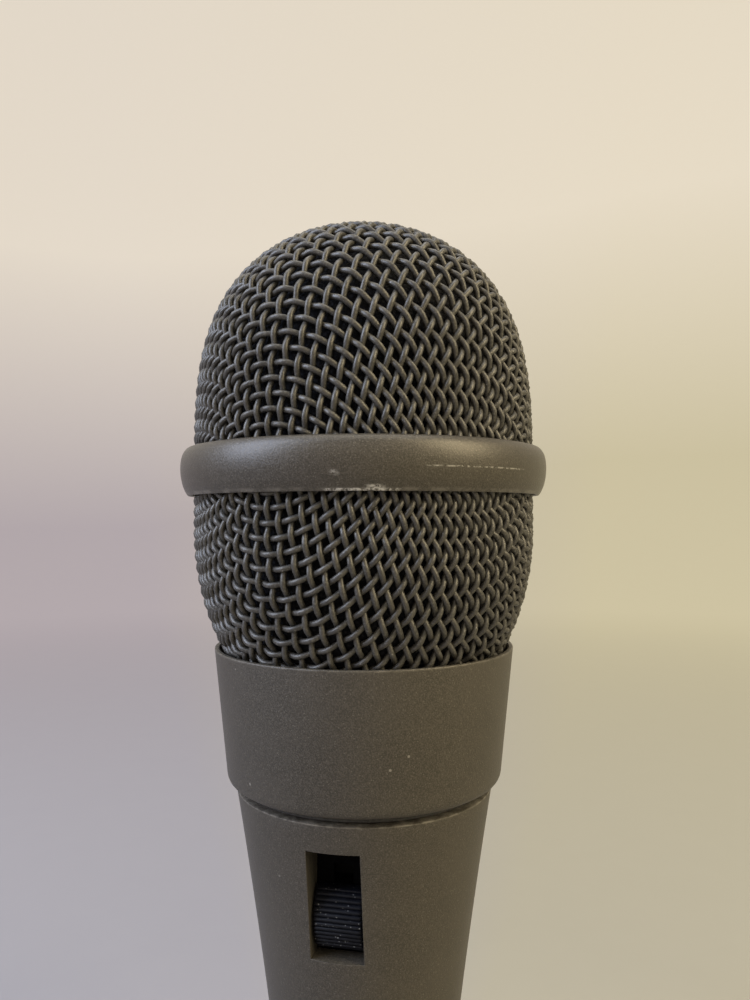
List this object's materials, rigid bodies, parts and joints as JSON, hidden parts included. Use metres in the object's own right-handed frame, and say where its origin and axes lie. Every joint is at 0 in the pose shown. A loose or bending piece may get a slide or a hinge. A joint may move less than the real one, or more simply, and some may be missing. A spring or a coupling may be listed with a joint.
{
  "type": "dynamic microphone",
  "caption": "Handheld dynamic vocal microphone with a woven wire ball grille, screwed collar, tapered handle, slide switch and three-pin tail connector.",
  "frame": {"origin": "centre of the tail rim, at the lowest point of the handle", "axes": "+Z along the body towards the grille, -Y out of the switch window"},
  "size_m": [0.054, 0.054, 0.1807],
  "materials": {
    "body_paint": "matte grey-brown textured paint",
    "mesh_wire": "dark grey painted steel wire",
    "acoustic_foam": "open-cell black foam",
    "black_rubber": "matte",
    "black_plastic": "semi-matte",
    "grey_plastic": "matte",
    "bare_steel": "plain",
    "magnet_metal": "plated",
    "brass_metal": "plain",
    "enamelled_copper": "enamelled copper wire",
    "polyester_film": "thin clear-grey film",
    "grey_felt": "felt and cloth",
    "board_laminate": "green solder mask",
    "amber_glue": "set glue",
    "red_insulation": "PVC sleeve",
    "black_insulation": "PVC sleeve",
    "green_insulation": "PVC sleeve"
  },
  "bodies": {
    "handle": {"handle_shell": "body_paint", "shock_mount": "black_rubber", "capsule_housing": "grey_plastic", "damping_felt": "grey_felt", "magnet_yoke": "bare_steel", "magnet": "magnet_metal", "pole_plate": "bare_steel", "diaphragm_ring": "brass_metal", "capsule_front_cap": "grey_plastic", "capsule_cloth": "grey_felt", "capsule_terminal_plus": "brass_metal", "capsule_lead_red": "red_insulation", "capsule_terminal_minus": "brass_metal", "capsule_lead_black": "black_insulation", "switch_plate": "black_plastic", "switch_screw_upper": "bare_steel", "switch_screw_lower": "bare_steel", "switch_body": "bare_steel", "switch_board": "board_laminate", "transformer_core": "bare_steel", "transformer_winding": "enamelled_copper", "transformer_potting": "amber_glue", "transformer_lead_a": "green_insulation", "transformer_lead_b": "green_insulation", "xlr_insert": "black_plastic", "xlr_pin_1": "brass_metal", "xlr_pin_2": "brass_metal", "xlr_pin_3": "brass_metal", "xlr_lead_ground": "black_insulation", "xlr_lead_hot": "red_insulation", "xlr_lead_cold": "green_insulation", "xlr_set_screw": "bare_steel"},
    "washer": {"seal_washer": "black_rubber"},
    "head": {"collar": "body_paint", "grille_dome": "mesh_wire", "grille_basket": "mesh_wire", "grille_band": "body_paint", "foam_liner": "acoustic_foam"},
    "switch_carriage": {"switch_knob": "black_plastic", "switch_slider": "black_plastic"},
    "diaphragm_assembly": {"diaphragm": "polyester_film", "voice_coil": "enamelled_copper"}
  },
  "joints": [
    {"name": "head_unscrew", "type": "hinge", "parent": "handle", "child": "washer", "pos_m": [0, 0, 0.0989], "axis": [0, 0, 1], "range_deg": [0, 1799]},
    {"name": "head_rise", "type": "slide", "parent": "washer", "child": "head", "axis": [0, 0, 1], "range_m": [0, 0.005]},
    {"name": "switch_slide", "type": "slide", "parent": "handle", "child": "switch_carriage", "axis": [0, 0, 1], "range_m": [0, 0.004]},
    {"name": "diaphragm_travel", "type": "slide", "parent": "handle", "child": "diaphragm_assembly", "axis": [0, 0, 1], "range_m": [-0.0002, 0.0002], "stiffness_N_per_m": 670}
  ],
  "couplings": [
    {"joint": "head_rise", "follows": "head_unscrew", "m_per_rad": 0.00015915}
  ]
}
